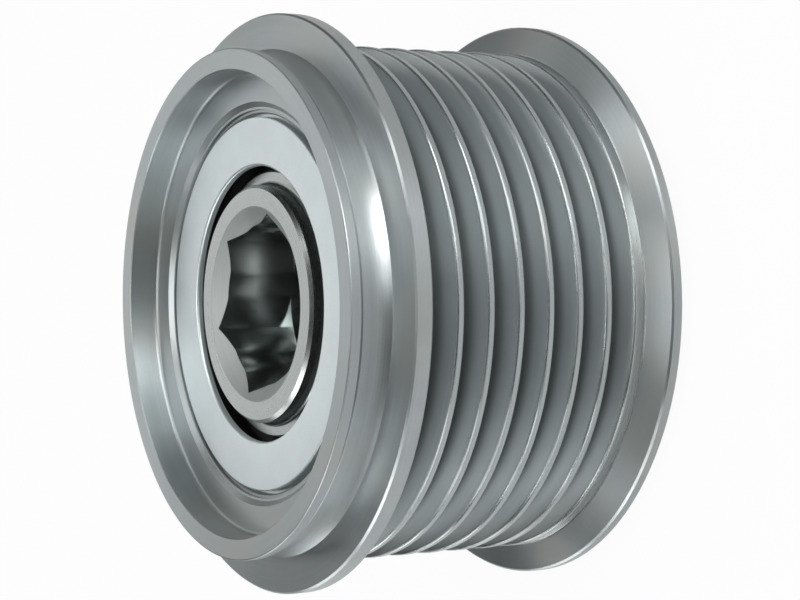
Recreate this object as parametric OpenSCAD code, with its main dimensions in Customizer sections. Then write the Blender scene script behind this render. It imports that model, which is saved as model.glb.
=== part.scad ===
// Overrunning alternator pulley for a ribbed belt, standing on the rear face of its hub.
// The axis of the pulley is Z, the origin is the middle of the hub's rear face, and the nose points up.

/* [Belt rim] */
// Number of belt grooves
groove_count = 7; // [6:1:9]
// Distance from groove to groove
groove_pitch = 3.56; // [3.4:0.02:3.7]
// Angle between the two walls of a groove
groove_angle = 40; // [36:1:44]
// Width of the crest between two grooves, before its edges are rounded
crest_w = 0.7; // [0.64:0.02:0.9]
// Radius at the bottom of a groove
groove_root_r = 0.4; // [0.3:0.05:0.5]
// Radius at the edges of a crest
crest_edge_r = 0.3; // [0.2:0.02:0.34]
// Diameter over the crests
crest_d = 55.4; // [54:0.1:57]
// Diameter over both flanges
flange_d = 61.4; // [59:0.1:64]
// Width of the rear flange's rim
rear_rim_w = 1.45; // [1.2:0.05:2.2]
// Width of the front flange's rim
front_rim_w = 1.98; // [1.4:0.02:2.6]
// Axial depth of each flange's sloping inner face
flange_slope = 1.25; // [0.8:0.05:1.8]
// Plain land between the rear flange and the last groove
rear_land = 1.23; // [0.8:0.01:1.8]
// Plain land between the front flange and the first groove
front_land = 0.53; // [0.4:0.01:1.2]

/* [Nose] */
// Length of the nose, from the front flange's rim to the front face
nose_len = 4.87; // [4:0.01:6]
// Width of the flat face at the front of the nose
nose_face_w = 2.28; // [1.6:0.005:2.6]
// Depth to which the nose is turned down behind the bead
nose_relief = 0.42; // [0.2:0.01:0.6]
// Width of the bead at the front of the nose
bead_w = 1.1; // [0.8:0.05:1.4]
// Width of the recess's floor, from the cover's seat to the wall that holds the protective cap
floor_w = 3.975; // [3.2:0.005:4.2]
// Depth of the recess
recess_depth = 3.35; // [3:0.05:4]

/* [Hub] */
// How far the hub stands out behind the pulley
hub_proud = 1; // [0.5:0.1:2]
// How far the hub's front face lies behind the front of the nose
hub_recess = 3.43; // [3:0.01:4]
// Diameter of the raceway on the hub
race_d = 30; // [29:0.1:31]
// Step from the raceway down to the cylinders on which the seals run
seal_step = 0.8; // [0.5:0.05:1]
// Step from those cylinders down to the hub's two ends
end_step = 1.57; // [1.2:0.01:1.9]
// Length of the hub's front end, down to its shoulder
front_end_len = 2.97; // [2.4:0.01:3.6]
// Length of the hub's rear end, up to its shoulder
rear_end_len = 4; // [3:0.1:4.2]
// Width across the flats of the hexagon socket
socket_af = 17; // [16:0.1:17.4]
// How far the chamfer at the socket's mouth reaches beyond the hexagon's corners
socket_mouth = 0.535; // [0.3:0.005:0.9]
// Depth of the hexagon socket
socket_depth = 9; // [7:0.1:11]
// How much wider than the hexagon's flats the round bore inside the socket is
socket_bore_over = 0.25; // [0:0.05:0.6]
// Depth of the round bore
socket_bore_depth = 12; // [11:0.1:14]
// Nominal diameter of the thread for the alternator shaft
thread_d = 16; // [14:1:16]
// Pitch of that thread
thread_pitch = 1.5; // [1:0.25:1.75]
// Step from the shaft's thread out to the pilot bore for its shoulder
pilot_step = 0.5; // [0.3:0.05:1]
// Depth of the pilot bore
pilot_depth = 4; // [3:0.1:6]

/* [Bearings and clutch] */
// Diameter of the needles and of the clutch rollers
roller_d = 2.5; // [2.2:0.1:2.6]
// Wall of the bearing cups
cup_wall = 1.44; // [1.2:0.02:1.8]
// Width of a bearing cup
cup_w = 7.2; // [6:0.1:7.6]
// Thickness of the lips that keep the cage in its cup
lip_t = 0.6; // [0.4:0.05:0.8]
// Number of needles in each bearing
needle_count = 20; // [14:1:22]
// Number of rollers and springs in the clutch
clutch_count = 12; // [8:1:12]
// Slope of the clamping ramps
wedge_angle = 4; // [3:0.5:5]
// Room beside each end of a clutch roller, for the cage's rims
roller_side = 1.1; // [0.8:0.05:1.5]

/* [Covers and seals] */
// Step from the pulley's bore out to the counterbore that seats a cover
seat_step = 1.6; // [1.4:0.05:2]
// Depth of the front cover's seat below the recess
front_seat_depth = 2.05; // [1.95:0.05:2.6]
// Depth of the rear cover's seat below the rear face
rear_seat_depth = 2; // [1.9:0.05:2.6]
// Thickness of the sheet of the covers
cover_t = 0.7; // [0.5:0.05:0.8]
// How far the front cover's face lies below the floor of the recess
front_cover_sink = 0.2; // [0:0.05:0.5]
// How far the rear cover's face lies inside the rear face
rear_cover_sink = 0.8; // [0.4:0.05:0.9]
// Gap round the hub in a cover's hole
cover_gap = 0.45; // [0.3:0.05:0.8]
// Thickness of the snap rings
snap_t = 0.65; // [0.5:0.05:0.7]
// How far a snap ring reaches inwards over its cover
snap_reach = 0.45; // [0.35:0.05:0.6]
// Depth of the grooves for the snap rings
snap_groove = 0.6; // [0.4:0.05:0.8]
// Gap between the ends of a snap ring
snap_gap = 1.6; // [1:0.1:4]
// Width of a seal
seal_w = 2.5; // [2.3:0.1:2.9]
// Thickness of a thrust washer
washer_t = 1; // [0.8:0.1:1.4]

/* [Hidden] */
$fn = 96;

// Clearances
run_clear = 0.03;    // radial, between a needle or roller and each raceway
press_gap = 0.02;    // radial, round each piece pressed into the pulley
seal_clear = 0.05;   // radial, between a seal's lip and the hub
side_clear = 0.1;    // axial, beside cages, rollers and the hub's raceway
groove_clear = 0.05; // axial, beside a snap ring in its groove
over = 1;            // how far a cut runs past the faces that it goes through

// Edge breaks
edge = 0.2;
rear_edge = 0.35;
rim_edge = 0.15;
mouth_edge = 0.1;
bore_edge = 0.4;

// Radii of the rim
groove_top_w = groove_pitch - crest_w;         // width of a groove at the crests
crest_r = crest_d / 2;
flange_r = flange_d / 2;
wall_angle = groove_angle / 2;

// Heights of the rim, from the rear face upwards
z_rear = hub_proud;
z_rear_rim = z_rear + rear_rim_w;
z_rear_crest = z_rear_rim + flange_slope;
z_first_groove = z_rear_crest + rear_land + groove_top_w / 2;
z_last_groove = z_first_groove + (groove_count - 1) * groove_pitch;
z_front_crest = z_last_groove + groove_top_w / 2 + front_land;
z_front_slope = z_front_crest + flange_slope;
z_front_rim = z_front_slope + front_rim_w;
z_front = z_front_rim + nose_len;
z_floor = z_front - recess_depth;

// Raceways, bore of the pulley, seats of the covers, recess and nose, from the inside out
race_r = race_d / 2;
seal_r = race_r - seal_step;
hub_end_r = seal_r - end_step;
cover_hole_r = seal_r + cover_gap;
roller_r = roller_d / 2;
track_r = race_r + roller_r + run_clear;       // centres of the needles and rollers
outer_race_r = race_r + roller_d + 2 * run_clear;
bore_r = outer_race_r + cup_wall;
press_r = bore_r - press_gap;
seat_r = bore_r + seat_step;
snap_groove_r = seat_r + snap_groove;
seat_land = 0.25;                              // narrow land round the mouth of a seat
seat_slope = 0.55;                             // width of the slope from that land up to the open side
seat_drop = 0.43;                              // height of that slope
snap_in_r = seat_r - snap_reach;
snap_slot = snap_t + groove_clear;
cover_step_r = snap_in_r - 0.35;
cover_edge = 0.15;
cover_dish = 0.15;                             // how far a cover's face sinks towards its hole
recess_r = seat_r + floor_w;
nose_r = recess_r + nose_face_w;

// The neck behind the nose's bead: its foot leans out to a corner at the flange
neck_r = nose_r - nose_relief;
foot_flare = 0.48;
foot_len = 1.97;
foot_rise = 0.3;
foot_arc_r = (foot_flare * foot_flare + foot_len * foot_len) / (2 * foot_flare);
nick_w = 0.5;
nick_depth = 0.14;
recess_fillet = 0.4;

// Heights of the covers' seats
z_front_seat = z_floor - front_seat_depth;
z_rear_seat = z_rear + rear_seat_depth;
front_rise = front_seat_depth - front_cover_sink;
rear_rise = rear_seat_depth - rear_cover_sink;

// The hub
z_hub = z_front - hub_recess;
hex_r = socket_af / sqrt(3);
socket_mouth_r = hex_r + socket_mouth;
hub_front_edge = 0.35;
hub_rear_edge = 0.5;
hub_root = 0.5;                                // fillet between each end and its shoulder
stack_in = seal_w + washer_t;                  // from a cover's seat to the bearing behind it
z_race_top = z_front_seat - stack_in - side_clear;
z_race_low = z_rear_seat + stack_in + side_clear;
socket_bore_r = (socket_af + socket_bore_over) / 2;
socket_chamfer = 1.2;
thread_r = (thread_d - 1.0825 * thread_pitch) / 2;
pilot_r = thread_d / 2 + pilot_step;
drill_slope = tan(30);
thread_chamfer = 0.8;

// Bearings
cage_wall_in = 0.5;                            // from the hub's raceway to a cage
cage_wall_out = 0.5;                           // from a cage to the outer raceway
cup_lip = 0.9;                                 // from the outer raceway in to the edge of a cup's lip
lip_r = outer_race_r - cup_lip;
cage_len = cup_w - 2 * lip_t - 2 * side_clear;
cage_rim = 0.6;
needle_len = cage_len - 2 * cage_rim - 2 * side_clear;
roller_edge = 0.2;
window_play = 0.1;                             // on each side of a needle or roller, to its cage

// Clutch
z_sleeve_top = z_front_seat - stack_in - cup_w;
z_sleeve_low = z_rear_seat + stack_in + cup_w;
sleeve_len = z_sleeve_top - z_sleeve_low;
clutch_mid = (z_sleeve_top + z_sleeve_low) / 2;
roller_len = sleeve_len - 2 * roller_side;
land_depth = 0.5;                              // from the outer raceway in to the lands between the ramps
land_r = outer_race_r - land_depth;
ramp_x = track_r * cos(wedge_angle) + roller_r + run_clear;
roller_y = -track_r * sin(wedge_angle);        // the roller sits beside the ramp's nearest point
ramp_tight = 1;                                // how far a pocket runs past that point
spring_room = 2.1;
pocket_open = roller_r - roller_y + spring_room + side_clear;
clutch_cage_len = sleeve_len - 2 * side_clear;
clutch_cage_in_r = race_r + 0.35;
clutch_cage_out_r = land_r - 0.15;
cage_window_low = roller_y - roller_r - spring_room;
cage_window_high = roller_y + roller_r + window_play;
lug_w = 2;
lug_len = 1.1;
lug_r = outer_race_r + 0.3;
lug_count = 3;
lug_turn = 9;                                  // from a ramp's nearest point to a lug
spring_t = 0.14;
spring_w = 1.2;
spring_folds = 4;
spring_h = roller_len - 1.4;
spring_step = (spring_room - 2 * spring_t - side_clear / 2) / spring_folds;

// Seals: the case's flange ends outside the hub, and the rubber goes on from there to its lip
case_t = 0.6;
case_in_r = seal_r + 1.8;
rubber_t = 0.7;                                // on the inner side of the flange
rubber_out_t = 0.45;                           // on its outer side
rubber_edge = 0.4;
lip_tip_r = seal_r + seal_clear;
lip_w = 0.2;
lip_slope = 0.5;
lip_slope_out = 0.9;
washer_gap = 0.15;                             // radial, between a thrust washer and the hub

// The snap rings: their edges, and the room round them in their grooves
snap_edge = 0.12;
snap_out_r = snap_groove_r - 0.15;

// The snap rings' gap lies on this side
snap_gap_angle = -16;

// Points along an arc round a centre, from one angle to another
function arc(centre, r, from, to, steps = 6) =
    [for (i = [0 : steps]) centre + r * [cos(from + (to - from) * i / steps), sin(from + (to - from) * i / steps)]];

// Outline of one belt groove, upwards: rounded crest edge, wall, round root, wall, rounded crest edge
function groove(z) =
    let (lean = 90 - wall_angle,
         half = groove_top_w / 2,
         tangent = crest_edge_r * tan(lean / 2),
         root_x = crest_r - half / tan(wall_angle) + groove_root_r / sin(wall_angle))
    concat(arc([crest_r - crest_edge_r, z - half - tangent], crest_edge_r, 0, lean, 3),
           arc([root_x, z], groove_root_r, 180 + lean, 180 - lean, 6),
           arc([crest_r - crest_edge_r, z + half + tangent], crest_edge_r, -lean, 0, 3));

function all_grooves() =
    [for (i = [0 : groove_count - 1]) each groove(z_first_groove + i * groove_pitch)];

// Outer outline of the pulley, from its rear face to its front face
function rim_outline() = concat(
    [[flange_r - rear_edge, z_rear], [flange_r, z_rear + rear_edge],
     [flange_r, z_rear_rim - edge], [flange_r - edge, z_rear_rim],
     [crest_r, z_rear_crest]],
    all_grooves(),
    [[crest_r, z_front_crest],
     [flange_r - edge, z_front_slope], [flange_r, z_front_slope + edge],
     [flange_r, z_front_rim - edge], [flange_r - edge, z_front_rim]]);

function nose_outline() = concat(
    arc([neck_r + foot_arc_r, z_front_rim + foot_rise + foot_len], foot_arc_r,
        180 + asin(foot_len / foot_arc_r), 180, 6),
    [[neck_r, z_front - bead_w - nick_w],
     [neck_r - nick_depth, z_front - bead_w - 0.7 * nick_w],
     [neck_r - nick_depth, z_front - bead_w - 0.3 * nick_w],
     [nose_r, z_front - bead_w]],
    arc([nose_r - rim_edge, z_front - rim_edge], rim_edge, 0, 90, 3));

// Seat of a cover and groove of its snap ring, from the open side inwards; out is 1 at the front, -1 at the rear
function seat_outline(z_open, z_seat, out) =
    [[seat_r + seat_land + seat_slope, z_open], [seat_r + seat_land, z_open - out * seat_drop],
     [seat_r, z_open - out * seat_drop],
     [seat_r, z_seat + out * (cover_t + snap_slot)], [snap_groove_r, z_seat + out * (cover_t + snap_slot)],
     [snap_groove_r, z_seat + out * cover_t], [seat_r, z_seat + out * cover_t],
     [seat_r, z_seat], [bore_r, z_seat]];

function reversed(list) = [for (i = [len(list) - 1 : -1 : 0]) list[i]];

// Turned piece from an outline of radii and heights
module turned(points) rotate_extrude() polygon(points);

module at_front() translate([0, 0, z_front_seat]) children();
module at_rear() translate([0, 0, z_rear_seat]) mirror([0, 0, 1]) children();

module pulley_body() color([0.60, 0.63, 0.63])
    turned(concat(
        rim_outline(),
        nose_outline(),
        [[recess_r + mouth_edge, z_front], [recess_r, z_front - mouth_edge]],
        arc([recess_r - recess_fillet, z_floor + recess_fillet], recess_fillet, 0, -90, 5),
        seat_outline(z_floor, z_front_seat, 1),
        reversed(seat_outline(z_rear, z_rear_seat, -1))));

module hub() color([0.66, 0.67, 0.67])
    difference() {
        turned([
            [pilot_r + bore_edge, 0], [hub_end_r - hub_rear_edge, 0], [hub_end_r, hub_rear_edge],
            each arc([hub_end_r + hub_root, rear_end_len - hub_root], hub_root, 180, 90, 4),
            [seal_r - edge, rear_end_len], [seal_r, rear_end_len + edge],
            [seal_r, z_race_low], [race_r - edge, z_race_low], [race_r, z_race_low + edge],
            [race_r, z_race_top - edge], [race_r - edge, z_race_top], [seal_r, z_race_top],
            [seal_r, z_hub - front_end_len - edge], [seal_r - edge, z_hub - front_end_len],
            each arc([hub_end_r + hub_root, z_hub - front_end_len + hub_root], hub_root, 270, 180, 4),
            [hub_end_r, z_hub - hub_front_edge], [hub_end_r - hub_front_edge, z_hub], [socket_mouth_r, z_hub],
            [socket_bore_r, z_hub - socket_chamfer], [socket_bore_r, z_hub - socket_bore_depth],
            [thread_r, z_hub - socket_bore_depth - (socket_bore_r - thread_r) * drill_slope],
            [thread_r, pilot_depth + thread_chamfer],
            [min(thread_r + thread_chamfer, pilot_r), pilot_depth], [pilot_r, pilot_depth],
            [pilot_r, bore_edge]]);
        hexagon_socket();
    }

// The broached hexagon, whose corners end in a flat shoulder
module hexagon_socket()
    translate([0, 0, z_hub - socket_depth]) cylinder(h = socket_depth + over, r = hex_r, $fn = 6);

// Pressed cover: a slightly dished disc, a step round it and a low rim under the snap ring
module cover(rise)
    turned(concat(
        [[seat_r - press_gap, 0], [seat_r - press_gap, cover_t], [cover_step_r, cover_t]],
        arc([cover_step_r - cover_edge, rise - cover_edge], cover_edge, 0, 90, 3),
        arc([cover_hole_r + cover_edge, rise - cover_dish - cover_edge], cover_edge, 90, 180, 3),
        [[cover_hole_r, rise - cover_dish - cover_t], [cover_step_r - cover_t, rise - cover_t],
         [cover_step_r - cover_t, 0]]));

module snap_ring()
    difference() {
        translate([0, 0, cover_t])
            turned([[snap_in_r + snap_edge, 0], [snap_out_r, 0], [snap_out_r, snap_t],
                    [snap_in_r + snap_edge, snap_t], [snap_in_r, snap_t - snap_edge], [snap_in_r, snap_edge]]);
        rotate([0, 0, snap_gap_angle])
            translate([snap_in_r - over, -snap_gap / 2, cover_t - over])
                cube([snap_out_r - snap_in_r + 2 * over, snap_gap, snap_t + 2 * over]);
    }

// Bent sheet ring that carries the rubber of a seal
module seal_case()
    turned([[press_r, 0], [press_r, -seal_w], [case_in_r, -seal_w], [case_in_r, -seal_w + case_t],
            [press_r - case_t, -seal_w + case_t], [press_r - case_t, 0]]);

// Rubber bonded to the case, with a lip that leans on the hub
module seal_rubber()
    translate([0, 0, case_t - seal_w])
        turned([[press_r - case_t, 0], [press_r - case_t, rubber_t], [case_in_r - rubber_edge, rubber_t],
                [lip_tip_r + lip_slope, rubber_t / 2], [lip_tip_r, 0], [lip_tip_r, -lip_w],
                [lip_tip_r + lip_slope_out, -rubber_out_t], [case_in_r, -rubber_out_t], [case_in_r, 0]]);

module thrust_washer()
    turned([[seal_r + washer_gap, -stack_in], [press_r, -stack_in],
            [press_r, -seal_w], [seal_r + washer_gap, -seal_w]]);

// Drawn cup with a lip at each end
module bearing_cup()
    translate([0, 0, -stack_in - cup_w])
        turned([[lip_r, 0], [press_r - edge, 0], [press_r, edge], [press_r, cup_w - edge],
                [press_r - edge, cup_w], [lip_r, cup_w], [lip_r, cup_w - lip_t],
                [outer_race_r, cup_w - lip_t], [outer_race_r, lip_t], [lip_r, lip_t]]);

module bearing_cage()
    translate([0, 0, -stack_in - cup_w / 2])
        difference() {
            turned([[race_r + cage_wall_in, -cage_len / 2], [outer_race_r - cage_wall_out, -cage_len / 2],
                    [outer_race_r - cage_wall_out, cage_len / 2], [race_r + cage_wall_in, cage_len / 2]]);
            for (i = [0 : needle_count - 1]) rotate([0, 0, i * 360 / needle_count])
                translate([track_r - roller_d, -roller_r - window_play, -needle_len / 2 - side_clear])
                    cube([2 * roller_d, roller_d + 2 * window_play, needle_len + 2 * side_clear]);
        }

// Needle or roller with broken edges, standing on its middle
module roller(length)
    turned([[0, -length / 2], [roller_r - roller_edge, -length / 2], [roller_r, -length / 2 + roller_edge],
            [roller_r, length / 2 - roller_edge], [roller_r - roller_edge, length / 2], [0, length / 2]]);

module needles()
    translate([0, 0, -stack_in - cup_w / 2])
        for (i = [0 : needle_count - 1]) rotate([0, 0, i * 360 / needle_count])
            translate([track_r, 0, 0]) roller(needle_len, $fn = 32);

// Runs its children once for each clutch roller, with X square to that roller's ramp
module each_ramp()
    for (i = [0 : clutch_count - 1]) rotate([0, 0, i * 360 / clutch_count]) children();

// Outer ring of the clutch: each ramp is a flat that comes nearer to the hub on one side of its roller
module clutch_sleeve() color([0.55, 0.56, 0.58])
    difference() {
        translate([0, 0, z_sleeve_low]) cylinder(h = sleeve_len, r = press_r);
        translate([0, 0, z_sleeve_low - over]) cylinder(h = sleeve_len + 2 * over, r = land_r);
        each_ramp() translate([race_r, -pocket_open, z_sleeve_low - over])
            cube([ramp_x - race_r, pocket_open + ramp_tight, sleeve_len + 2 * over]);
        each_lug() translate([race_r, -lug_w / 2 - side_clear, -lug_len - side_clear])
            cube([lug_r - race_r + side_clear, lug_w + 2 * side_clear, lug_len + side_clear + over]);
    }

module each_lug()
    translate([0, 0, z_sleeve_top])
        for (i = [0 : lug_count - 1])
            rotate([0, 0, round(i * clutch_count / lug_count) * 360 / clutch_count + lug_turn]) children();

module clutch_cage() color([0.20, 0.21, 0.20])
    difference() {
        union() {
            translate([0, 0, clutch_mid - clutch_cage_len / 2])
                cylinder(h = clutch_cage_len, r = clutch_cage_out_r);
            each_lug() translate([track_r, -lug_w / 2, -lug_len - side_clear])
                cube([lug_r - track_r, lug_w, lug_len]);
        }
        translate([0, 0, z_sleeve_low - over]) cylinder(h = sleeve_len + 2 * over, r = clutch_cage_in_r);
        each_ramp() translate([clutch_cage_in_r - over, cage_window_low, clutch_mid - roller_len / 2 - side_clear])
            cube([clutch_cage_out_r - clutch_cage_in_r + 2 * over, cage_window_high - cage_window_low,
                  roller_len + 2 * side_clear]);
    }

module clutch_rollers() color([0.72, 0.73, 0.74])
    each_ramp() translate([track_r * cos(wedge_angle), roller_y, clutch_mid]) roller(roller_len, $fn = 32);

// One flat leg of a folded spring, from point a to point b
module leg(a, b) {
    side = spring_t / 2 * [-(b - a)[1], (b - a)[0]] / norm(b - a);
    polygon([a + side, a - side, b - side, b + side]);
}

// Folded leaf springs, which push the rollers towards the narrow end of their ramps
module clutch_springs() color([0.75, 0.73, 0.66])
    each_ramp() translate([0, 0, clutch_mid - spring_h / 2]) linear_extrude(spring_h) {
        low = cage_window_low + spring_t;
        x_mid = track_r * cos(wedge_angle);
        for (i = [0 : spring_folds - 1]) {
            side = (i % 2 == 0 ? 1 : -1) * spring_w / 2;
            leg([x_mid - side, low + i * spring_step], [x_mid + side, low + (i + 1) * spring_step]);
        }
    }

module front_cover() color([0.80, 0.83, 0.82]) at_front() cover(front_rise);
module front_snap_ring() color([0.55, 0.57, 0.57]) at_front() snap_ring();
module front_seal_case() color([0.58, 0.58, 0.56]) at_front() seal_case();
module front_seal() color([0.13, 0.13, 0.13]) at_front() seal_rubber();
module front_thrust_washer() color([0.25, 0.24, 0.20]) at_front() thrust_washer();
module front_bearing_cup() color([0.62, 0.63, 0.64]) at_front() bearing_cup();
module front_bearing_cage() color([0.24, 0.24, 0.22]) at_front() bearing_cage();
module front_needles() color([0.72, 0.73, 0.74]) at_front() needles();
module rear_bearing_cup() color([0.62, 0.63, 0.64]) at_rear() bearing_cup();
module rear_bearing_cage() color([0.24, 0.24, 0.22]) at_rear() bearing_cage();
module rear_needles() color([0.72, 0.73, 0.74]) at_rear() needles();
module rear_thrust_washer() color([0.25, 0.24, 0.20]) at_rear() thrust_washer();
module rear_seal() color([0.13, 0.13, 0.13]) at_rear() seal_rubber();
module rear_seal_case() color([0.58, 0.58, 0.56]) at_rear() seal_case();
module rear_cover() color([0.80, 0.83, 0.82]) at_rear() cover(rear_rise);
module rear_snap_ring() color([0.55, 0.57, 0.57]) at_rear() snap_ring();

pulley_body();
hub();
front_cover();
front_snap_ring();
front_seal_case();
front_seal();
front_thrust_washer();
front_bearing_cup();
front_bearing_cage();
front_needles();
clutch_sleeve();
clutch_cage();
clutch_rollers();
clutch_springs();
rear_bearing_cup();
rear_bearing_cage();
rear_needles();
rear_thrust_washer();
rear_seal();
rear_seal_case();
rear_cover();
rear_snap_ring();
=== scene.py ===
"""Looks of an overrunning alternator pulley: its finishes, the thread in its hub and a plain pale studio."""
import math

import bmesh
import bpy
from mathutils import Matrix, Vector


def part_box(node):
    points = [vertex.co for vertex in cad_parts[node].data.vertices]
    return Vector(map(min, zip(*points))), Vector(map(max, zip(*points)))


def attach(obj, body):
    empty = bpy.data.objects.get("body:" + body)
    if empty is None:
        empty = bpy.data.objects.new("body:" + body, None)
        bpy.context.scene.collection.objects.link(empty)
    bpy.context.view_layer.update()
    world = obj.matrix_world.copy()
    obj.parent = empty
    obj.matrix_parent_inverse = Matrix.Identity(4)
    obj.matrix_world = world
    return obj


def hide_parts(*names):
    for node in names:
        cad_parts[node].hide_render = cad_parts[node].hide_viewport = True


bl_info = {
    "name": "Alternator pulley",
    "version": (1, 0, 0),
    "blender": (4, 5, 0),
    "location": "3D View > Sidebar > Pulley",
    "description": "Dresses the packed pulley: plated and ground steel, the hub's thread and a pale studio",
    "category": "Object",
}

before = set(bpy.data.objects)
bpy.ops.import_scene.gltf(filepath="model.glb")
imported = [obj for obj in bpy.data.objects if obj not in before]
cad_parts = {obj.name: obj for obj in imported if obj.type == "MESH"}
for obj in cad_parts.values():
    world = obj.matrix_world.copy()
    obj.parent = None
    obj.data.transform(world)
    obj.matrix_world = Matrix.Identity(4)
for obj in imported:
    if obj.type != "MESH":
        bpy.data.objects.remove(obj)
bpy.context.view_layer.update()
MM = 0.001

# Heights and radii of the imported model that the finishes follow, in millimetres
HUB_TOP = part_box("hub")[1].z / MM
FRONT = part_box("pulley_body")[1].z / MM
FLANGE_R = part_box("pulley_body")[1].x / MM
CREST_R = 27.7
FIRST_GROOVE = 6.36
GROOVE_PITCH = 3.56
GROOVES = 7
SOCKET_CORNER_R = 9.82
SOCKET_BORE_R = 8.625
MOUTH_R = 10.35
MOUTH_DEPTH = 1.2
HUB_END_R = 12.63
COVER_HOLE_R = 14.65
COVER_DISH = 0.15
LIP_R = 0.15
SEAL_R = 14.2
SHOULDER_DEPTH = 2.97

# The camera, fitted to the photo
CAMERA_PLACE = Vector((196.192, -54.211, 137.91)) * MM
CAMERA_RIGHT = Vector((0.48947389, -0.1536059, -0.85838251))
CAMERA_UP = Vector((0.27560701, 0.96115587, -0.01483812))
CAMERA_AHEAD = Vector((-0.82731861, 0.22931337, -0.51279557))
CAMERA_LENS = 96.75

# The softboxes, all at the same distance from the pulley's middle: azimuth in degrees, from the
# picture's right towards its top, elevation above the floor, side in metres and power in watts
PULLEY_MIDDLE = Vector((0, 0, 19)) * MM
LAMP_DISTANCE = 0.7
LAMPS = (
    ("overhead", 0, 88, 0.3, 1.35),
    ("low right", 20, 12, 0.3, 0.8),
    ("key", 34, 10, 0.25, 2.0),
    ("right", 60, 35, 0.3, 1.3),
    ("top", 120, 62, 0.3, 0.65),
    ("upper left", 150, 35, 0.3, 0.24),
    ("left", 180, 35, 0.3, 0.26),
    ("low left", 180, 12, 0.3, 0.3),
    ("lower left", 240, 12, 0.3, 0.8),
    ("bottom", 270, 35, 0.3, 1.2),
    ("lower right", 300, 35, 0.3, 0.62),
)


class Signal:
    """A socket's value: arithmetic on it adds the nodes that work it out."""

    def __init__(self, tree, socket):
        self.tree = tree
        self.socket = socket

    def math(self, operation, *others):
        return self.tree.math(operation, self, *others)

    def __add__(self, other):
        return self.math("ADD", other)

    def __sub__(self, other):
        return self.math("SUBTRACT", other)

    def __rsub__(self, other):
        return self.tree.math("SUBTRACT", other, self)

    def __mul__(self, other):
        return self.math("MULTIPLY", other)

    def __truediv__(self, other):
        return self.math("DIVIDE", other)

    __radd__ = __add__
    __rmul__ = __mul__

    def rise(self, low, high):
        """0 below low, 1 above high and a smooth step between them."""
        return self.tree.node("ShaderNodeMapRange", {"interpolation_type": "SMOOTHSTEP"},
                              {"Value": self, "From Min": low, "From Max": high})

    def band(self, low, high, blur):
        """1 between low and high, 0 outside them."""
        return self.rise(low - blur, low + blur) * (1 - self.rise(high - blur, high + blur))


class Tree:
    """A node tree, to which one method adds any node."""

    def __init__(self, node_tree):
        self.nodes = node_tree.nodes
        self.links = node_tree.links

    def node(self, kind, settings=(), sockets=(), output=0):
        """Adds a node of this kind: its settings first, then its sockets' values or links."""
        made = self.nodes.new(kind)
        for name, value in dict(settings).items():
            setattr(made, name, value)
        for name, value in dict(sockets).items():
            self.feed(made.inputs[name], value)
        return Signal(self, made.outputs[output])

    def feed(self, socket, value):
        if isinstance(value, Signal):
            self.links.new(value.socket, socket)
        else:
            socket.default_value = value

    def math(self, operation, *values):
        return self.node("ShaderNodeMath", {"operation": operation}, enumerate(values))

    def noise(self, vector, scale=1.0, detail=2.0, roughness=0.5):
        return self.node("ShaderNodeTexNoise", {},
                         {"Vector": vector, "Scale": scale, "Detail": detail, "Roughness": roughness})

    def vector(self, x, y, z):
        return self.node("ShaderNodeCombineXYZ", {}, {"X": x, "Y": y, "Z": z})

    def mix(self, factor, one, other):
        """A colour between two colours."""
        return self.node("ShaderNodeMix", {"data_type": "RGBA"}, {0: factor, 6: one, 7: other}, output=2)


class Finish(Tree):
    """A material. Places on its surface are in millimetres, in the pulley's own frame."""

    def __init__(self, name, **constants):
        self.material = bpy.data.materials.new(name)
        self.material.use_nodes = True
        super().__init__(self.material.node_tree)
        self.shader = self.nodes["Principled BSDF"]
        for socket, value in constants.items():
            self.shader.inputs[socket.replace("_", " ")].default_value = value
        self.object_place = self.node("ShaderNodeTexCoord", output="Object")
        split = self.node("ShaderNodeSeparateXYZ", {}, {0: self.object_place}, output="X").socket.node.outputs
        self.x, self.y, self.z = (Signal(self, socket) / MM for socket in split)
        self.radius = (self.x * self.x + self.y * self.y).math("SQRT")
        self.angle = self.y.math("ARCTAN2", self.x)

    def set(self, socket, value):
        self.feed(self.shader.inputs[socket], value)

    def grain(self, size, detail=2.0, roughness=0.5):
        """Even mottling whose spots are about this many millimetres across."""
        return self.noise(self.object_place, 1 / (size * MM), detail, roughness)

    def turning(self, feed, drift=0.7):
        """Marks of a turning tool: rings about feed millimetres apart, which slowly change round the axis."""
        rings = self.vector(self.radius / feed, self.z / feed, self.angle * drift)
        return self.noise(rings, 1.0, 1.5)

    def relief(self, height, depth, under=None):
        """Bump of this depth in millimetres from a height between 0 and 1."""
        sockets = {"Height": height, "Distance": depth * MM, "Strength": 1.0}
        if under:
            sockets["Normal"] = under
        return self.node("ShaderNodeBump", {}, sockets)


def shade(colour, factor):
    """The colour made lighter or darker, with its alpha."""
    return (*(channel * factor for channel in colour[:3]), 1.0)


def dress(node, finish):
    """Gives a CAD node's own object this finish."""
    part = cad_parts[node]
    part.data.materials.clear()
    part.data.materials.append(finish)


def near_grooves(finish):
    """1 on the crests between the belt grooves, 0 elsewhere."""
    crests = finish.radius.band(CREST_R - 0.3, CREST_R + 0.15, 0.12)
    low = FIRST_GROOVE - GROOVE_PITCH
    high = FIRST_GROOVE + GROOVES * GROOVE_PITCH
    return crests * finish.z.band(low, high, 0.2)


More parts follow.
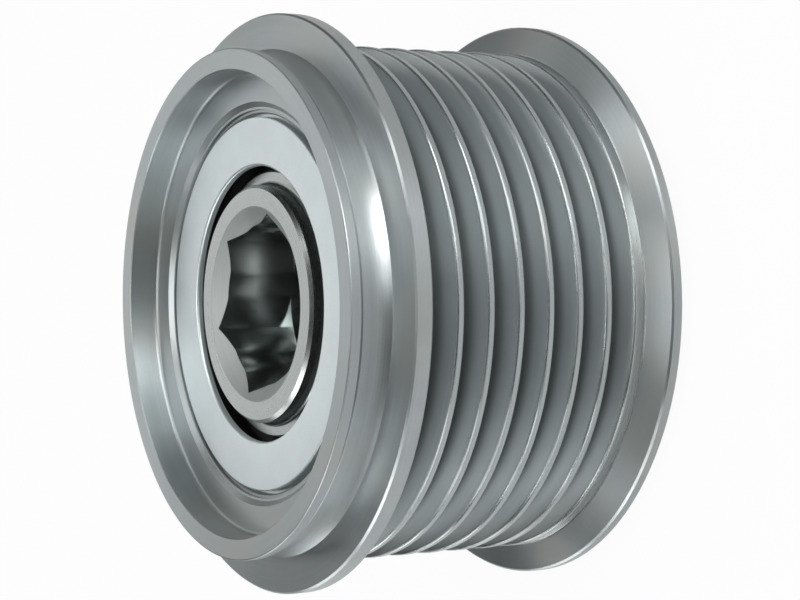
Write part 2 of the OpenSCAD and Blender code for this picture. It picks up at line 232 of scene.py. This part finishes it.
def plated_rim(settings):
    """Turned steel under thin matt zinc: fine rings, a cloudy film, dull grooves darkened partly by dirt and partly
    by painted shade, flanks lightened by a painted sheen and bright worn edges.
    """
    finish = Finish("plated rim", Metallic=settings.metallic, Anisotropic=settings.streak,
                    Anisotropic_Rotation=0.25)
    rings = finish.turning(settings.feed / MM)
    fine_rings = finish.turning(settings.feed / MM / 3, 2.0)
    clouds = finish.grain(4.0, 3.0, 0.6)
    specks = finish.grain(0.22, 2.0, 0.6)
    tone = rings * 0.3 + fine_rings * 0.2 + clouds * 0.3 + specks * 0.2
    plate = finish.mix(tone.rise(0.3, 0.7), shade(settings.colour, 0.92), shade(settings.colour, 1.08))
    warm = tuple(channel * gain for channel, gain in zip(settings.colour, (1.05, 1.0, 0.96)))
    plate = finish.mix(finish.grain(9.0, 1.0).rise(0.45, 0.7) * 0.7, plate, shade(warm, 1.0))
    depth = 1 - finish.radius.rise(CREST_R - 3.0, CREST_R - 1.3)
    inside = finish.z.band(FIRST_GROOVE - 1.5, FIRST_GROOVE + (GROOVES - 1) * GROOVE_PITCH + 1.5, 0.2)
    outer = finish.radius.rise(23.0, 23.4)
    dull = depth * inside * outer
    # Painted sheen: the grooves' flanks are painted lighter in place of a highlight.
    flanks = finish.radius.band(CREST_R - 2.0, CREST_R - 0.2, 0.35) * inside
    plate = finish.mix(flanks * settings.flank_painted_sheen, plate, shade(settings.colour, 1.6))
    # The bottoms of the grooves are painted darker: partly dirt, partly painted shade where the grooves are deep.
    plate = finish.mix(dull * settings.groove_dirt_and_shade, plate, shade(settings.colour, 0.35))
    worn = near_grooves(finish) * finish.turning(0.5, 3.0).rise(0.3, 0.6)
    rims = finish.radius.rise(FLANGE_R - 0.25, FLANGE_R - 0.05) * clouds.rise(0.35, 0.6)
    wear = worn.math("MAXIMUM", rims * 0.4) * settings.wear
    plate = finish.mix(wear * 0.5, plate, shade(settings.colour, 1.3))
    finish.set("Base Color", plate)
    finish.set("Roughness", settings.roughness + (tone - 0.5) * 0.16 - wear * 0.3 + dull * 0.08)
    marks = finish.relief(fine_rings, 0.004)
    finish.set("Normal", finish.relief(specks, 0.004, marks))
    return finish.material


def hub_steel(settings):
    """Turned and ground steel: ring marks on the end face, drawn marks along the broached socket."""
    finish = Finish("hub steel", Metallic=1.0)
    rings = finish.turning(0.16)
    drawn = finish.noise(finish.vector(finish.x / 0.25, finish.y / 0.25, finish.z / 6), 1.0, 2.0)
    cone = MOUTH_R - (HUB_TOP - finish.z) * ((MOUTH_R - SOCKET_BORE_R) / MOUTH_DEPTH)
    mouth = (finish.radius - cone).band(-0.04, 0.04, 0.02) * finish.z.rise(HUB_TOP - 1.3, HUB_TOP - 1.2)
    bore = 1 - finish.radius.rise(SOCKET_CORNER_R - 0.05, SOCKET_CORNER_R + 0.1)
    in_socket = bore * finish.z.rise(HUB_TOP - 12.5, HUB_TOP - 12.0) * (1 - mouth)
    in_thread = bore * (1 - finish.z.rise(HUB_TOP - 12.5, HUB_TOP - 9.0))
    clouds = finish.grain(3.0, 3.0, 0.6)
    tone = rings * (1 - in_socket) + drawn * in_socket
    steel = finish.mix((tone * 0.6 + clouds * 0.4).rise(0.3, 0.7),
                       shade(settings.colour, 0.95), shade(settings.colour, 1.05))
    # Painted light: the socket's walls are painted lighter, standing in for light that barely reaches inside the
    # hub.
    steel = finish.mix(in_socket, steel, shade(settings.colour, 1.4))
    # Painted shade: the thread deep in the bore is painted darker.
    steel = finish.mix(in_thread, steel, shade(settings.colour, 0.5))
    finish.set("Base Color", steel)
    smooth = settings.roughness * (1 - in_socket * 0.35) + mouth * 0.32
    finish.set("Roughness", smooth + (tone - 0.5) * 0.08 + (clouds - 0.5) * 0.05)
    finish.set("Normal", finish.relief(rings * (1 - in_socket) + drawn * in_socket * 0.05, 0.0012))
    return finish.material


def cover_plate(settings):
    """Pale zinc on pressed sheet: an even satin with a faint grain."""
    finish = Finish("cover plate", Metallic=settings.metallic)
    clouds = finish.grain(5.0, 3.0, 0.55)
    specks = finish.grain(0.18, 2.0, 0.6)
    tone = clouds * 0.6 + specks * 0.4
    finish.set("Base Color", finish.mix(tone.rise(0.32, 0.68), shade(settings.cover_colour, 0.94),
                                        shade(settings.cover_colour, 1.05)))
    finish.set("Roughness", settings.cover_roughness + (tone - 0.5) * 0.14)
    finish.set("Normal", finish.relief(specks, 0.003))
    return finish.material


def plain_steel(name, colour, roughness, mark=0.2):
    """Drawn, rolled or ground steel with fine marks round the axis."""
    finish = Finish(name, Metallic=1.0)
    rings = finish.turning(mark, 1.5)
    clouds = finish.grain(2.5, 3.0, 0.6)
    tone = rings * 0.5 + clouds * 0.5
    finish.set("Base Color", finish.mix(tone.rise(0.3, 0.7), shade(colour, 0.86), shade(colour, 1.1)))
    finish.set("Roughness", roughness + (tone - 0.5) * 0.18)
    finish.set("Normal", finish.relief(rings, 0.003))
    return finish.material


def seal_rubber():
    """Black moulded rubber with a dusty bloom."""
    finish = Finish("seal rubber", Specular_IOR_Level=0.4)
    bloom = finish.grain(1.6, 4.0, 0.65)
    pores = finish.grain(0.12, 2.0)
    finish.set("Base Color", finish.mix(bloom.rise(0.4, 0.75), (0.012, 0.012, 0.013, 1), (0.035, 0.035, 0.034, 1)))
    finish.set("Roughness", 0.55 + (bloom - 0.5) * 0.3)
    finish.set("Normal", finish.relief(pores, 0.012))
    return finish.material


def filled_plastic(name, colour):
    """Moulded plastic with short glass fibres that show as pale flecks."""
    finish = Finish(name, Specular_IOR_Level=0.45)
    flecks = finish.grain(0.15, 2.0, 0.7)
    clouds = finish.grain(2.0, 3.0)
    tone = flecks.rise(0.52, 0.72) * 0.6 + clouds * 0.4
    finish.set("Base Color", finish.mix(tone, shade(colour, 0.8), shade(colour, 1.8)))
    finish.set("Roughness", 0.48 + (clouds - 0.5) * 0.25)
    finish.set("Normal", finish.relief(flecks, 0.006))
    return finish.material


def merged_copy(node, name):
    """A copy of a CAD node's mesh whose loose triangles are joined, as an object of its own."""
    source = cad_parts[node]
    mesh = source.data.copy()
    mesh.transform(source.matrix_world)
    work = bmesh.new()
    work.from_mesh(mesh)
    bmesh.ops.remove_doubles(work, verts=work.verts, dist=1e-7)
    work.to_mesh(mesh)
    work.free()
    mesh.materials.clear()
    if "custom_normal" in mesh.attributes:
        mesh.attributes.remove(mesh.attributes["custom_normal"])
    piece = bpy.data.objects.new(name, mesh)
    bpy.context.scene.collection.objects.link(piece)
    return piece


def round_lip(mesh, corner_z, growth):
    """Makes the small rounding of the cover's hole larger; corner_z is the height of the sharp corner."""
    for vertex in mesh.vertices:
        radius = vertex.co.xy.length
        depth = corner_z - vertex.co.z
        if radius < (COVER_HOLE_R + LIP_R + 0.01) * MM and abs(depth) < (LIP_R + 0.01) * MM:
            wider = COVER_HOLE_R * MM + (radius - COVER_HOLE_R * MM) * growth
            vertex.co.xy *= wider / radius
            vertex.co.z = corner_z - depth * growth


def raise_shoulder(mesh, rise):
    """Moves the shoulder behind the hub's front end, with its fillet and bevel, towards the front."""
    for vertex in mesh.vertices:
        radius = vertex.co.xy.length / MM
        depth = HUB_TOP - vertex.co.z / MM
        if HUB_END_R - 0.01 < radius < SEAL_R + 0.01 and 2.0 < depth < SHOULDER_DEPTH + 0.5:
            vertex.co.z += rise


def shade_by_angle(piece, degrees):
    """Smooth shading with the edges sharper than this angle kept, in which wide faces stay flat."""
    mesh = piece.data
    mesh.polygons.foreach_set("use_smooth", [True] * len(mesh.polygons))
    mesh.set_sharp_from_angle(angle=math.radians(degrees))
    weighted = piece.modifiers.new("wide faces stay flat", "WEIGHTED_NORMAL")
    weighted.keep_sharp = True
    weighted.weight = 90


def thread_tree(material):
    """Geometry nodes for a thread cutter: a trapezoid that follows a helix round the Z axis."""
    group = bpy.data.node_groups.new("thread cutter", "GeometryNodeTree")
    face = group.interface
    names = ("Pitch", "Major Radius", "Inner Radius", "Tip Width", "Root Width", "Turns", "Start Height")
    for name in names:
        face.new_socket(name, in_out="INPUT", socket_type="NodeSocketFloat")
    face.new_socket("Geometry", in_out="OUTPUT", socket_type="NodeSocketGeometry")
    tree = Tree(group)
    inputs = group.nodes.new("NodeGroupInput")
    pitch, major, inner, tip, root, turns, start = (Signal(tree, inputs.outputs[name]) for name in names)
    middle = (major + inner) * 0.5
    helix = tree.node("GeometryNodeCurveSpiral", {}, {
        "Resolution": 72, "Rotations": turns, "Start Radius": middle, "End Radius": middle,
        "Height": pitch * turns})
    helix = tree.node("GeometryNodeSetCurveNormal", {"mode": "Z_UP"}, {"Curve": helix})
    profile = tree.node("GeometryNodeCurvePrimitiveQuadrilateral", {"mode": "TRAPEZOID"}, {
        "Height": major - inner, "Bottom Width": root, "Top Width": tip, "Offset": 0.0})
    profile = tree.node("GeometryNodeTransform", {}, {
        "Geometry": profile, "Rotation": (0, 0, math.pi / 2)})
    cutter = tree.node("GeometryNodeCurveToMesh", {}, {
        "Curve": helix, "Profile Curve": profile, "Fill Caps": True})
    cutter = tree.node("GeometryNodeTransform", {}, {
        "Geometry": cutter, "Translation": tree.vector(0.0, 0.0, start)})
    real = tree.node("GeometryNodeRealizeInstances", {}, {0: cutter})
    last = tree.node("GeometryNodeSetMaterial", {}, {"Geometry": real, "Material": material})
    group.links.new(last.socket, group.nodes.new("NodeGroupOutput").inputs[0])
    return group


def thread_cutter(settings, material):
    """The solid that the thread takes out of the hub's bore, as a plain mesh object."""
    holder = bpy.data.objects.new("thread_cutter", bpy.data.meshes.new("thread_cutter"))
    bpy.context.scene.collection.objects.link(holder)
    group = thread_tree(material)
    pitch = settings.thread_pitch
    major = settings.thread_diameter / 2
    inner = major - 0.73 * pitch
    slope = 2 * math.tan(math.radians(30))
    low, high = 2.6 * MM, 23.2 * MM
    values = {"Pitch": pitch, "Major Radius": major, "Inner Radius": inner, "Tip Width": pitch / 8,
              "Root Width": pitch / 8 + slope * (major - inner), "Turns": (high - low) / pitch,
              "Start Height": low}
    modifier = holder.modifiers.new("thread", "NODES")
    modifier.node_group = group
    for item in group.interface.items_tree:
        if item.in_out == "INPUT":
            modifier[item.identifier] = values[item.name]
    evaluated = holder.evaluated_get(bpy.context.evaluated_depsgraph_get())
    mesh = bpy.data.meshes.new_from_object(evaluated)
    holder.modifiers.clear()
    holder.data = mesh
    return holder


def cut_away(piece, cutter):
    """Takes the cutter out of the piece and deletes the cutter."""
    cut = piece.modifiers.new("cut", "BOOLEAN")
    cut.operation = "DIFFERENCE"
    cut.solver = "EXACT"
    cut.object = cutter
    evaluated = piece.evaluated_get(bpy.context.evaluated_depsgraph_get())
    mesh = bpy.data.meshes.new_from_object(evaluated)
    piece.modifiers.clear()
    piece.data = mesh
    bpy.data.objects.remove(cutter)


def softbox(name, azimuth, elevation, size, watts):
    """A square area light that faces the pulley."""
    lamp = bpy.data.lights.new(name + " softbox", "AREA")
    lamp.shape = "SQUARE"
    lamp.size = size
    lamp.energy = watts
    light = bpy.data.objects.new(name + " softbox", lamp)
    bpy.context.scene.collection.objects.link(light)
    right = Vector((CAMERA_RIGHT.x, CAMERA_RIGHT.y, 0)).normalized()
    flat = Matrix.Rotation(math.radians(azimuth), 3, "Z") @ right
    rise = math.radians(elevation)
    towards = flat * math.cos(rise) + Vector((0, 0, math.sin(rise)))
    light.location = PULLEY_MIDDLE + towards * LAMP_DISTANCE
    light.rotation_euler = towards.to_track_quat("Z", "Y").to_euler()


def floor_material(settings):
    """Pale floor: white to the camera, with a faint shadow, and a softer white in the metal's reflections,
    which fades from the near side to the far side."""
    material = bpy.data.materials.new("floor")
    material.use_nodes = True
    material.node_tree.nodes.clear()
    tree = Tree(material.node_tree)
    card = tree.node("ShaderNodeBsdfDiffuse", {}, {"Color": (*settings.floor_colour, 1.0)})
    camera = tree.node("ShaderNodeLightPath", output="Is Camera Ray")
    glossy, clear = (Signal(tree, camera.socket.node.outputs[ray])
                     for ray in ("Is Glossy Ray", "Is Transmission Ray"))
    place = tree.node("ShaderNodeTexCoord", output="Object")
    split = tree.node("ShaderNodeSeparateXYZ", {}, {0: place}, output="X").socket.node.outputs
    away = Signal(tree, split["Y"]) * CAMERA_UP.y + Signal(tree, split["X"]) * CAMERA_UP.x
    near, far = ((level, level, level, 1) for level in (settings.near_glow, settings.far_glow))
    mirrored = tree.mix(away.rise(-0.07, 0.07), near, far)
    glow = tree.node("ShaderNodeEmission", {}, {"Color": tree.mix(camera, mirrored, (1, 1, 1, 1)), "Strength": 1.0})
    share = camera * settings.floor_glow + glossy.math("MAXIMUM", clear) * 0.85
    mixed = tree.node("ShaderNodeMixShader", {}, {0: share, 1: card, 2: glow})
    tree.feed(tree.nodes.new("ShaderNodeOutputMaterial").inputs["Surface"], mixed)
    return material


class PulleyRimSettings(bpy.types.PropertyGroup):
    """Finish of the grooved rim."""

    colour: bpy.props.FloatVectorProperty(
        name="Colour", description="Colour of the zinc plating", subtype="COLOR",
        size=3, min=0, max=1, default=(0.412, 0.449, 0.456))
    metallic: bpy.props.FloatProperty(
        name="Metallic", description="How metallic the plating looks", subtype="FACTOR",
        min=0, max=1, default=0.85)
    roughness: bpy.props.FloatProperty(
        name="Roughness", description="Roughness of the plating", subtype="FACTOR",
        min=0.05, max=1, default=0.36)
    streak: bpy.props.FloatProperty(
        name="Streak", description="How far the turning marks draw out the highlights", subtype="FACTOR",
        min=0, max=1, default=0.6)
    feed: bpy.props.FloatProperty(
        name="Feed", description="Distance between the turning marks", unit="LENGTH",
        min=0.00005, max=0.002, default=0.0004, precision=5)
    wear: bpy.props.FloatProperty(
        name="Wear", description="How bright the crests and the flanges' edges are worn", subtype="FACTOR",
        min=0, max=1, default=0.45)
    # Painted sheen: lightens the colour of the grooves' flanks in place of a highlight.
    flank_painted_sheen: bpy.props.FloatProperty(
        name="Flank painted sheen", description="How much painted sheen lightens the grooves' flanks", subtype="FACTOR",
        min=0, max=1, default=0.35)
    # Darkens the bottoms of the grooves: partly dirt, partly painted shade.
    groove_dirt_and_shade: bpy.props.FloatProperty(
        name="Groove dirt and shade", description="How dull the bottoms of the grooves are", subtype="FACTOR",
        min=0, max=1, default=0.8)


class PulleyHubSettings(bpy.types.PropertyGroup):
    """Finish and thread of the hub."""

    colour: bpy.props.FloatVectorProperty(
        name="Colour", description="Colour of the hub's steel", subtype="COLOR",
        size=3, min=0, max=1, default=(0.43, 0.455, 0.45))
    roughness: bpy.props.FloatProperty(
        name="Roughness", description="Roughness of the hub's steel", subtype="FACTOR",
        min=0.05, max=1, default=0.28)
    thread_diameter: bpy.props.FloatProperty(
        name="Thread diameter", description="Nominal diameter of the thread for the shaft", unit="LENGTH",
        min=0.01, max=0.0165, default=0.016)
    thread_pitch: bpy.props.FloatProperty(
        name="Thread pitch", description="Distance from turn to turn of the thread", unit="LENGTH",
        min=0.001, max=0.002, default=0.0015, precision=4)
    shoulder_rise: bpy.props.FloatProperty(
        name="Shoulder rise", description="How far the front shoulder is moved forward", unit="LENGTH",
        min=0, max=0.0015, default=0.00095, precision=5)


class PulleyCoverSettings(bpy.types.PropertyGroup):
    """Finish of the covers and their snap rings, and the rounding of the covers' holes."""

    cover_colour: bpy.props.FloatVectorProperty(
        name="Cover colour", description="Colour of the covers' pale zinc", subtype="COLOR",
        size=3, min=0, max=1, default=(0.687, 0.758, 0.768))
    metallic: bpy.props.FloatProperty(
        name="Metallic", description="How metallic the covers look", subtype="FACTOR",
        min=0, max=1, default=0.8)
    cover_roughness: bpy.props.FloatProperty(
        name="Roughness", description="Roughness of the covers", subtype="FACTOR",
        min=0.05, max=1, default=0.38)
    lip: bpy.props.FloatProperty(
        name="Lip", description="Radius of the rounded edge of the covers' holes", unit="LENGTH",
        min=0.0001, max=0.0006, default=0.0003, precision=5)
    ring_colour: bpy.props.FloatVectorProperty(
        name="Ring colour", description="Colour of the snap rings", subtype="COLOR",
        size=3, min=0, max=1, default=(0.38, 0.4, 0.4))


class PulleyInnerSettings(bpy.types.PropertyGroup):
    """Finish of the bearings, the clutch and the seals."""

    bearing_colour: bpy.props.FloatVectorProperty(
        name="Bearing colour", description="Colour of the ground bearing steel", subtype="COLOR",
        size=3, min=0, max=1, default=(0.52, 0.53, 0.54))
    spring_colour: bpy.props.FloatVectorProperty(
        name="Spring colour", description="Colour of the spring strip", subtype="COLOR",
        size=3, min=0, max=1, default=(0.55, 0.52, 0.44))
    case_colour: bpy.props.FloatVectorProperty(
        name="Case colour", description="Colour of the seals' sheet cases", subtype="COLOR",
        size=3, min=0, max=1, default=(0.42, 0.42, 0.41))
    cage_colour: bpy.props.FloatVectorProperty(
        name="Cage colour", description="Colour of the moulded cages", subtype="COLOR",
        size=3, min=0, max=1, default=(0.03, 0.03, 0.027))
    washer_colour: bpy.props.FloatVectorProperty(
        name="Washer colour", description="Colour of the thrust washers", subtype="COLOR",
        size=3, min=0, max=1, default=(0.05, 0.045, 0.035))


class PulleyStageSettings(bpy.types.PropertyGroup):
    """The studio."""

    floor_size: bpy.props.FloatProperty(
        name="Floor size", description="Side of the square floor", unit="LENGTH",
        min=1, max=20, default=6)
    floor_colour: bpy.props.FloatVectorProperty(
        name="Floor colour", description="Colour of the floor", subtype="COLOR",
        size=3, min=0, max=1, default=(0.8, 0.8, 0.8))
    floor_glow: bpy.props.FloatProperty(
        name="Floor glow", description="How much of the floor's look is plain white", subtype="FACTOR",
        min=0, max=1, default=0.95)
    near_glow: bpy.props.FloatProperty(
        name="Near glow", description="Brightness of the near floor in the metal's reflections",
        subtype="FACTOR", min=0, max=1, default=0.82)
    far_glow: bpy.props.FloatProperty(
        name="Far glow", description="Brightness of the far floor in the metal's reflections",
        subtype="FACTOR", min=0, max=1, default=0.5)
    sky: bpy.props.FloatProperty(
        name="Surroundings", description="Strength of the even light from all sides", min=0, max=2,
        default=0.0)
    lamps: bpy.props.FloatProperty(
        name="Softboxes", description="Factor on the power of every softbox", min=0, max=20, default=1)


class PULLEY_OT_rim(bpy.types.Operator):
    """Gives the grooved rim its plated and turned finish"""

    bl_idname = "pulley.rim"
    bl_label = "Rim"

    def execute(self, context):
        dress("pulley_body", plated_rim(context.scene.pulley_rim))
        return {"FINISHED"}


class PULLEY_OT_hub(bpy.types.Operator):
    """Makes the hub with its cut thread"""

    bl_idname = "pulley.hub"
    bl_label = "Hub"

    def execute(self, context):
        settings = context.scene.pulley_hub
        steel = hub_steel(settings)
        hub = merged_copy("hub", "threaded_hub")
        raise_shoulder(hub.data, settings.shoulder_rise)
        before = len(hub.data.polygons)
        cut_away(hub, thread_cutter(settings, steel))
        if len(hub.data.polygons) <= before:
            raise RuntimeError("the thread's cutter did not reach the hub's bore")
        hub.data.materials.clear()
        hub.data.materials.append(steel)
        shade_by_angle(hub, 25)
        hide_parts("hub")
        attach(hub, "hub")
        return {"FINISHED"}


class PULLEY_OT_covers(bpy.types.Operator):
    """Gives the covers and the snap rings their finish"""

    bl_idname = "pulley.covers"
    bl_label = "Covers and snap rings"

    def execute(self, context):
        settings = context.scene.pulley_covers
        plate = cover_plate(settings)
        ring = plain_steel("ring steel", settings.ring_colour, 0.38, 0.1)
        for end, side in (("front", 1), ("rear", 0)):
            node = end + "_cover"
            cover = merged_copy(node, end + "_pressed_cover")
            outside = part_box(node)[side].z
            inwards = -MM if side else MM
            round_lip(cover.data, outside + inwards * COVER_DISH, settings.lip / (LIP_R * MM))
            shade_by_angle(cover, 35)
            cover.data.materials.append(plate)
            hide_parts(node)
            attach(cover, "pulley")
            dress(end + "_snap_ring", ring)
        return {"FINISHED"}


class PULLEY_OT_seals(bpy.types.Operator):
    """Gives the seals, their cases and the thrust washers their finish"""

    bl_idname = "pulley.seals"
    bl_label = "Seals and thrust washers"

    def execute(self, context):
        settings = context.scene.pulley_inner
        rubber = seal_rubber()
        case = plain_steel("seal case", settings.case_colour, 0.4)
        washer = filled_plastic("thrust washer", settings.washer_colour)
        for end in ("front", "rear"):
            dress(end + "_seal", rubber)
            dress(end + "_seal_case", case)
            dress(end + "_thrust_washer", washer)
        return {"FINISHED"}


class PULLEY_OT_bearings(bpy.types.Operator):
    """Gives the needle bearings their finish"""

    bl_idname = "pulley.bearings"
    bl_label = "Needle bearings"

    def execute(self, context):
        settings = context.scene.pulley_inner
        steel = plain_steel("bearing steel", settings.bearing_colour, 0.24, 0.08)
        cage = filled_plastic("bearing cage", settings.cage_colour)
        for end in ("front", "rear"):
            dress(end + "_bearing_cup", steel)
            dress(end + "_needles", steel)
            dress(end + "_bearing_cage", cage)
        return {"FINISHED"}


class PULLEY_OT_clutch(bpy.types.Operator):
    """Gives the one-way clutch its finish"""

    bl_idname = "pulley.clutch"
    bl_label = "One-way clutch"

    def execute(self, context):
        settings = context.scene.pulley_inner
        steel = plain_steel("clutch steel", settings.bearing_colour, 0.26, 0.09)
        dress("clutch_sleeve", steel)
        dress("clutch_rollers", steel)
        dress("clutch_cage", filled_plastic("clutch cage", settings.cage_colour))
        dress("clutch_springs", plain_steel("spring strip", settings.spring_colour, 0.22, 0.3))
        return {"FINISHED"}


class PULLEY_OT_stage(bpy.types.Operator):
    """Makes the floor, the lights and the camera"""

    bl_idname = "pulley.stage"
    bl_label = "Studio"

    def execute(self, context):
        scene = context.scene
        settings = scene.pulley_stage
        half = settings.floor_size / 2
        corners = [(-half, -half, 0), (half, -half, 0), (half, half, 0), (-half, half, 0)]
        mesh = bpy.data.meshes.new("floor")
        mesh.from_pydata(corners, [], [(0, 1, 2, 3)])
        mesh.materials.append(floor_material(settings))
        floor = bpy.data.objects.new("floor", mesh)
        scene.collection.objects.link(floor)

        world = bpy.data.worlds.new("studio")
        world.use_nodes = True
        world.node_tree.nodes["Background"].inputs["Color"].default_value = (1, 1, 1, 1)
        world.node_tree.nodes["Background"].inputs["Strength"].default_value = settings.sky
        scene.world = world

        for name, azimuth, elevation, size, watts in LAMPS:
            softbox(name, azimuth, elevation, size, watts * settings.lamps)

        lens = bpy.data.cameras.new("camera")
        lens.sensor_width = 36
        lens.lens = CAMERA_LENS
        lens.clip_start = 0.005
        camera = bpy.data.objects.new("camera", lens)
        turn = Matrix((CAMERA_RIGHT, CAMERA_UP, -CAMERA_AHEAD)).transposed().to_4x4()
        camera.matrix_world = Matrix.Translation(CAMERA_PLACE) @ turn
        scene.collection.objects.link(camera)
        scene.camera = camera
        scene.view_settings.view_transform = "Standard"
        return {"FINISHED"}


SETTINGS = {
    "pulley_rim": PulleyRimSettings,
    "pulley_hub": PulleyHubSettings,
    "pulley_covers": PulleyCoverSettings,
    "pulley_inner": PulleyInnerSettings,
    "pulley_stage": PulleyStageSettings,
}
OPERATORS = (PULLEY_OT_rim, PULLEY_OT_hub, PULLEY_OT_covers, PULLEY_OT_seals, PULLEY_OT_bearings,
             PULLEY_OT_clutch, PULLEY_OT_stage)


class PULLEY_PT_panel(bpy.types.Panel):
    """Lists the pulley's settings and operators"""

    bl_label = "Alternator pulley"
    bl_idname = "PULLEY_PT_panel"
    bl_space_type = "VIEW_3D"
    bl_region_type = "UI"
    bl_category = "Pulley"

    def draw(self, context):
        for name, group in SETTINGS.items():
            box = self.layout.box()
            for field in group.__annotations__:
                box.prop(getattr(context.scene, name), field)
        for operator in OPERATORS:
            self.layout.operator(operator.bl_idname)


def register():
    for name, group in SETTINGS.items():
        bpy.utils.register_class(group)
        setattr(bpy.types.Scene, name, bpy.props.PointerProperty(type=group))
    for operator in OPERATORS:
        bpy.utils.register_class(operator)
    bpy.utils.register_class(PULLEY_PT_panel)


def unregister():
    bpy.utils.unregister_class(PULLEY_PT_panel)
    for operator in reversed(OPERATORS):
        bpy.utils.unregister_class(operator)
    for name, group in reversed(SETTINGS.items()):
        delattr(bpy.types.Scene, name)
        bpy.utils.unregister_class(group)


def main():
    register()
    bpy.ops.pulley.rim()
    bpy.ops.pulley.hub()
    bpy.ops.pulley.covers()
    bpy.ops.pulley.seals()
    bpy.ops.pulley.bearings()
    bpy.ops.pulley.clutch()
    bpy.ops.pulley.stage()


if __name__ == "__main__":
    main()
